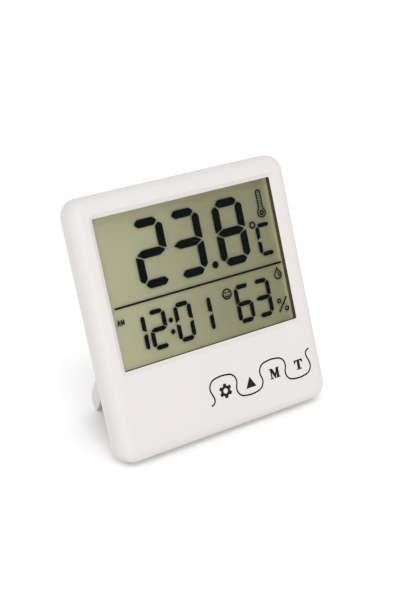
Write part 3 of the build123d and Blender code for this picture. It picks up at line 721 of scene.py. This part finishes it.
def slitLine(look):
    def lobe(index, hand):
        side = 1 if index % 2 == 0 else -1
        half = (look["pitch"] / 2 + look["overhang"]) * hand
        reach = look["rise"] - look["drop"] if hand else look["rise"] + look["crownLift"]
        return Vector((index * look["pitch"] + look["shift"] + half, look["level"] + side * reach))

    end = look["tongues"]
    corners = [lobe(-1, 1).lerp(lobe(-1, 0), look["hookShare"]), lobe(-1, 1)]
    rounds = [0, look["hookRound"]]
    for index in range(look["tongues"]):
        corners += [lobe(index, -1), lobe(index, 0), lobe(index, 1)]
        rounds += [look["lobeRound"], look["pitch"], look["lobeRound"]]
    corners += [lobe(end, -1), lobe(end, -1).lerp(lobe(end, 0), look["hookShare"])]
    rounds += [look["hookRound"], 0]
    line = [corners[0]]
    for i in range(1, len(corners) - 1):
        line += bend(corners[i - 1], corners[i], corners[i + 1], rounds[i], look["arcSteps"])
    return line + [corners[-1]]


# an arc of a radius that rounds one corner
def bend(before, corner, after, radius, steps):
    back, ahead = (before - corner).normalized(), (after - corner).normalized()
    half = back.angle(ahead) / 2
    middle = corner + (back + ahead).normalized() * (radius / math.sin(half))
    start = corner + back * (radius / math.tan(half)) - middle
    sweep = start.angle_signed(corner + ahead * (radius / math.tan(half)) - middle)
    return [middle + Matrix.Rotation(-sweep * step / steps, 2) @ start for step in range(steps + 1)]


def ribbon(line, width):
    sides = []
    for index in range(len(line)):
        run = line[min(index + 1, len(line) - 1)] - line[max(index - 1, 0)]
        sides.append(run.normalized().orthogonal() * (width / 2))
    return [p + s for p, s in zip(line, sides)] + [p - s for p, s in reversed(list(zip(line, sides)))]


# the slit's painted shadow strip
plate("slitShadowStrip", [ribbon(slitLine(slitShadow), slitShadow["width"])], slitShadow["front"], slitShadow["back"], "slitShadowDark", "case")

# the thin web that each tongue bends on, closing the hinge line at its root; the shell is below (-1)
# or above (1) the root
web = {"front": 0.0, "back": 0.6, "thick": 0.11, "shy": 0.005, "touch": 0.01,
       "shellSides": {"key_set": -1, "key_up": 1, "key_mode": -1, "key_unit": 1}}
for keyName, shellSide in web["shellSides"].items():
    points = [frameToCase @ vertex.co for vertex in frame["nodes"][keyName].data.vertices]
    leaf = [p for p in points if p.y < web["touch"]]
    root = min(p.z for p in leaf) if shellSide < 0 else max(p.z for p in leaf)
    across = [p.x for p in leaf if abs(p.z - root) < web["touch"]]
    near, far = sorted((root + shellSide * web["shy"], root + shellSide * (web["shy"] + web["thick"])))
    plate(keyName.replace("key_", "") + "Web", [block(min(across), near, max(across), far)],
          web["front"], web["back"], "whiteAbs", "case")
print("keys marked")

# back: painted shade of the case screws' cross recesses, a dark cross on each head; opening and polarity
# marks
screw = {"x": 28.0, "z": 9.0, "floor": 14.2, "head": 1.4, "arm": 1.35, "half": 0.26, "proud": 0.015}
screwFace = screw["floor"] + screw["head"]
# a dark cross on each screw head: painted shade for its recess
for side, name in ((-1, "leftScrewRecessShade"), (1, "rightScrewRecessShade")):
    plate(name, cross(side * screw["x"], screw["z"], screw["arm"], screw["half"]),
          screwFace - screw["proud"], screwFace + screw["proud"], "blackPlasticAndRecessShade", "case")

doorRelief = {"sunk": 0.1, "proud": 0.12}


def doorPlate(name, shapes):
    return plate(name, shapes, case["depth"] - doorRelief["sunk"], case["depth"] + doorRelief["proud"],
                 "whiteAbs", "battery_door")


opening = {"x": 0.0, "low": 63.4, "high": 66.2, "half": 2.2, "soft": 0.25}
openingCorners = [(opening["x"] - opening["half"], opening["high"]),
                  (opening["x"] + opening["half"], opening["high"]), (opening["x"], opening["low"])]
doorPlate("doorArrow", [softCorners(openingCorners, opening["soft"])])

polarity = {"plus": 19.5, "minus": -19.5, "z": 61.0, "arm": 1.6, "half": 0.32}
doorPlate("plusMark", cross(polarity["plus"], polarity["z"], polarity["arm"], polarity["half"]))
doorPlate("minusMark", cross(polarity["minus"], polarity["z"], polarity["arm"], polarity["half"])[:1])
print("back marked")

# floor, light, camera
floorLook = {"half": 6.0, "tone": (0.975, 0.975, 0.975), "shade": (0.968, 0.968, 0.968), "patch": 40,
             "rough": 0.9, "specular": 0.0}
floorFinish = Finish("paleFloor")
floorTone = floorFinish.blend(floorFinish.grain(floorLook["patch"]), floorLook["shade"], floorLook["tone"])
floorMesh = bmesh.new()
bmesh.ops.create_grid(floorMesh, x_segments=2, y_segments=2, size=floorLook["half"])
floorData = bpy.data.meshes.new("floor")
floorMesh.to_mesh(floorData)
floorMesh.free()
floorData.materials.append(floorFinish.done(colour=floorTone, rough=floorLook["rough"],
                                            specular=floorLook["specular"]))
floor = bpy.data.objects.new("floor", floorData)
bpy.context.scene.collection.objects.link(floor)

light = {"world": 0.95, "worldTone": (1, 1, 1, 1), "keyPower": 4.5, "keyPlace": (-0.55, -1.2, 0.5),
         "keySize": 0.8, "topPower": 3.7, "topPlace": (-0.3, -0.6, 1.4), "topSize": 0.5,
         "target": (0, 0, 0.05)}
world = bpy.data.worlds.new("studio")
bpy.context.scene.world = world
world.use_nodes = True
sky = world.node_tree.nodes["Background"]
sky.inputs["Color"].default_value = light["worldTone"]
sky.inputs["Strength"].default_value = light["world"]


def softbox(name, place, size, power):
    data = bpy.data.lights.new(name, "AREA")
    data.shape = "SQUARE"
    data.size = size
    data.energy = power
    lamp = bpy.data.objects.new(name, data)
    lamp.location = place
    lamp.rotation_mode = "QUATERNION"
    lamp.rotation_quaternion = (Vector(light["target"]) - Vector(place)).to_track_quat("-Z", "Y")
    bpy.context.scene.collection.objects.link(lamp)


for lampName in ("key", "top"):
    softbox(lampName + "Light", light[lampName + "Place"], light[lampName + "Size"],
            light[lampName + "Power"])

view = {"azimuth": -33.95, "elevation": 26.0, "target": (0, -0.00396, 0.05030), "distance": 0.48436,
        "lens": 74.28, "sensor": 36, "clipStart": 0.01, "clipEnd": 30}
turn, rise = math.radians(view["azimuth"]), math.radians(view["elevation"])
away = Vector((math.sin(turn) * math.cos(rise), -math.cos(turn) * math.cos(rise), math.sin(rise)))
cameraData = bpy.data.cameras.new("camera")
cameraData.lens = view["lens"]
cameraData.sensor_width = view["sensor"]
cameraData.clip_start = view["clipStart"]
cameraData.clip_end = view["clipEnd"]
camera = bpy.data.objects.new("camera", cameraData)
camera.location = Vector(view["target"]) + away * view["distance"]
camera.rotation_mode = "QUATERNION"
camera.rotation_quaternion = (-away).to_track_quat("-Z", "Y")
bpy.context.scene.collection.objects.link(camera)
bpy.context.scene.camera = camera
bpy.context.scene.view_settings.view_transform = "Standard"
print("stage set")
